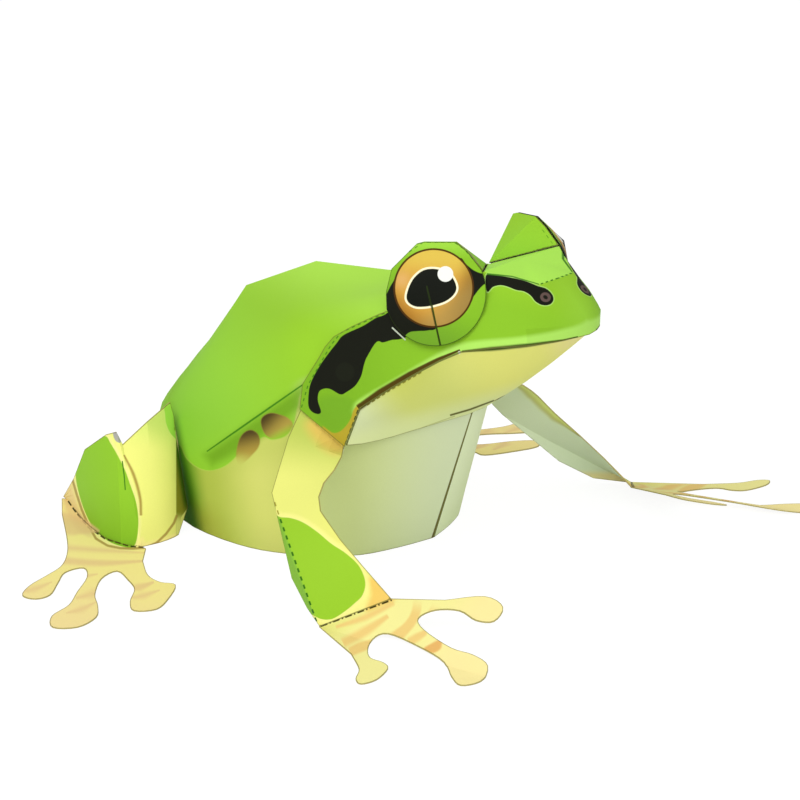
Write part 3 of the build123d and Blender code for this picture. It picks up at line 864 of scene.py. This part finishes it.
ARM_INK = [
    layer("E2DE74", fade((300, 500), (360, 560)), strength=0.8),
    layer("F3EC9A", fade((330, 605), (360, 640))),
    layer("FAE8A2", fade((430, 620), (465, 640)), strength=0.8),
    layer("B4C256", fade((306, 485), (312, 425)), above(22.0, 6.0)),
    layer("DCB858", shape(SHOULDER_SHADE, soft=8.0), strength=0.85),
    layer("E8BE5C", shape(WRIST_SHADE, soft=4.0), strength=0.85),
    layer("F2EC92", shape(PATCH, grow=4.5, soft=2.5), below(26.0, 4.0), strength=0.6),
    layer("93C32B", on_patch),
    layer("7DB43A", shape(PATCH_SHADE, round_it=False, soft=0.6), on_patch, strength=0.8),
    *[layer("EDC777", stroke(line, width=widths, bend=True, soft=1.4), below(5.0, 2.0), strength=0.85)
      for *line, widths in HAND_BANDS],
    layer("E6B468", shape(FINGER_TIP, soft=1.5)),
    layer("9A9430", stroke(ELBOW_FOLD, width=1.4, dash=8.7)),
    layer("2F6A10", stroke(FOREARM_FOLD, width=1.9, dash=8.7)),
    layer("3A3210", stroke(WRIST_FOLD, width=1.8, dash=13.0, duty=0.55)),
    layer("3A3210", stroke(WRIST_FOLD, width=1.8, dash=13.0, duty=0.12, shift=0.5)),
]
INNER_BAND = [(17.7, -42.0, 33.8), (18.2, -45.6, 31.4), (17.8, -49.9, 28.6), (18.4, -52.8, 25.8),
              (20.4, -54.7, 22.9), (27.8, -56.3, 17.3)]
# The arms' bare back: its grey-green and the two fades over it are painted shade with green bounce light
# from the frog's sheets.
ARM_BACK = [
    layer("DEEBCB", fade((300, 470), (330, 590))),
    layer("E6EED4", fade((300, 480), (310, 420)), strength=0.7),
    layer("F1E4A8", below(3.2, 2.0)),
    layer("96864A", stroke(INNER_BAND, width=(6.4, 6.0, 4.6, 0.9), soft=0.2, view="solid")),
    layer("E2EA8C", stroke(INNER_BAND, width=(5.8, 5.4, 4.0, 0.4), soft=0.2, view="solid")),
]

# hind legs
SHIN = [(105, 436), (92, 441), (83, 446), (79, 460), (75.6, 475), (80, 497.5), (87.5, 517.5), (96, 531),
        (110, 542), (125, 547), (133, 547), (137, 538), (138.3, 520), (136, 502), (130, 484), (125, 470),
        (118, 456), (111, 444)]
LEG_LOW = [(72, 478), (76.9, 495), (81.9, 510), (88.7, 526), (96, 538.7), (107.5, 545.6), (120, 548.2),
           (133, 548.6), (146, 547.5), (157, 542.5), (166, 534), (174, 523), (177, 515)]
FOOT_TOP = [(60, 480), *LEG_LOW[:9], (150, 700), (0, 700), (0, 480)]
HEEL_SHADE = [(64, 486), (70, 482), (80, 512), (92, 536), (78, 530), (66, 510)]
HIP = [(160, 392), (164.6, 411), (166, 422.5), (170, 432.5), (175.6, 438.7), (184, 446), (184, 392)]
THIGH_TURN = [(176.2, 436), (177.4, 442), (188.5, 507), (181, 517), (181, 540), (176.2, 540)]
SHIN_BAND = [(124, 455), (133.7, 475), (140, 497.5), (141, 515.5)]
FOOT_FOLD = [(67.5, 500), (76, 512.5), (88.7, 527.5), (105, 538.8), (130, 546.4), (147, 547.6)]
SHIN_LINE = [(122.3, 461), (124, 474), (125.3, 490)]
# Painted shadow: the grey inside the open top of the knee.
KNEE_GAP_SHADOW = [(113, 430), (121, 427), (121, 442), (115, 440)]
FOOT_BANDS = [          # three points, then the widths
    ((50, 522), (74, 525), (100, 529), (24, 20, 6)),
    ((56, 547), (100, 550), (146, 553), (5, 4, 1)),
    ((56, 560), (100, 563), (146, 561), (7, 6, 2)),
    ((14, 592), (34, 589), (52, 582), (1, 5, 1)),
    ((76, 598), (92, 594), (110, 589), (2, 7, 1)),
    ((124, 589), (140, 587), (154, 582), (2, 7, 2)),
    ((126, 598), (142, 596), (160, 590), (1, 5, 1)),
    ((66, 613), (82, 609), (96, 602), (1, 5, 1)),
    ((62, 578), (80, 577), (98, 574), (1, 4, 1)),
]
on_shin = shape(SHIN)
on_thigh = shape(THIGH_TURN, round_it=False, soft=0.5)
on_foot = below(1.2, 1.0)
LEG_INK = [
    layer("E3E07C", fade((140, 500), (165, 545)), strength=0.7),
    layer("CFE474", fade((150, 455), (158, 418)), strength=0.8),
    layer("F3E88E", shape(FOOT_TOP, soft=2.0)),
    layer("F3E490", below(1.0, 1.0)),
    layer("E6CC8C", shape(HEEL_SHADE, soft=2.5), strength=0.8),
    layer("A6DC4E", shape(HIP, soft=0.5)),
    layer("F2EE98", shape(SHIN, grow=3.2, soft=1.0), strength=0.7),
    layer("8EC42E", on_shin),
    layer("80B426", on_shin, fade((108, 480), (110, 540)), strength=0.7),
    # The thigh's turned-back facet: dark olive print, with painted shade that deepens to dark green towards
    # its fold with the flank.
    layer("8E8C28", on_thigh),
    layer("3E640E", on_thigh, fade((176.5, 480), (182.5, 479)), fade((182, 520), (182, 500))),
    layer("DDDD7C", on_thigh, fade((178, 512), (178, 522))),
    layer("B39C4C", stroke(SHIN_BAND, width=(1.6, 3.0, 2.8, 2.4), bend=True, soft=0.6)),
    layer("A88C44", stroke(LEG_LOW, width=2.4, soft=0.6), strength=0.9),
    layer("33330E", stroke(FOOT_FOLD, width=1.5, dash=8.0, duty=0.7)),
    layer(LINE, stroke(SHIN_LINE, width=1.2)),
    # painted shadow inside the open top of the knee
    layer("A8A8A0", shape(KNEE_GAP_SHADOW, soft=0.6)),
    layer("F0D89A", fade((100, 572), (90, 630)), on_foot, strength=0.7),
    *[layer("E4C288", stroke(line, width=widths, soft=0.8, bend=True), on_foot, strength=0.75)
      for *line, widths in FOOT_BANDS],
]

camera()
floor()
world()
for name, place, size, power in LAMPS:
    lamp(name, place, size, power)

sheet("body_sheet", away_from(*TRUNK_MIDDLE), LIME, BODY_INK, fine=1.2)
sheet("head_sheet", away_from(*HEAD_MIDDLE), LIME, HEAD_INK, fine=0.7)
sheet("throat_sheet", away_from(*THROAT_MIDDLE), "CDD478", THROAT_INK, fine=1.0)
for hand, sign in (("right", -1), ("left", 1)):
    sheet("eye_hood_" + hand, away_from(*on_side(HOOD_MIDDLE, sign)), LIME, HOOD_INK,
          fine=0.9)
    sheet("eye_disc_" + hand, towards(*on_side(DISC_WAY, sign)), "84BA27", EYE_INK,
          fine=0.4, rim_ink="26340E", cut="1E240E")
    # the arms' grey-green back colour is painted shade with green bounce light on bare card
    sheet("arm_" + hand, towards(*on_side(ARM_WAY, sign)), "E0E278", ARM_INK,
          fine=0.9, back="E2EDCC", back_layers=ARM_BACK, cut=CUT_STRAW)
    sheet("hind_leg_" + hand, leg_outside(sign), "F2F286", LEG_INK,
          fine=0.9, rim_ink="6E5E28", cut=CUT_STRAW)

bpy.context.scene.view_settings.view_transform = "Standard"
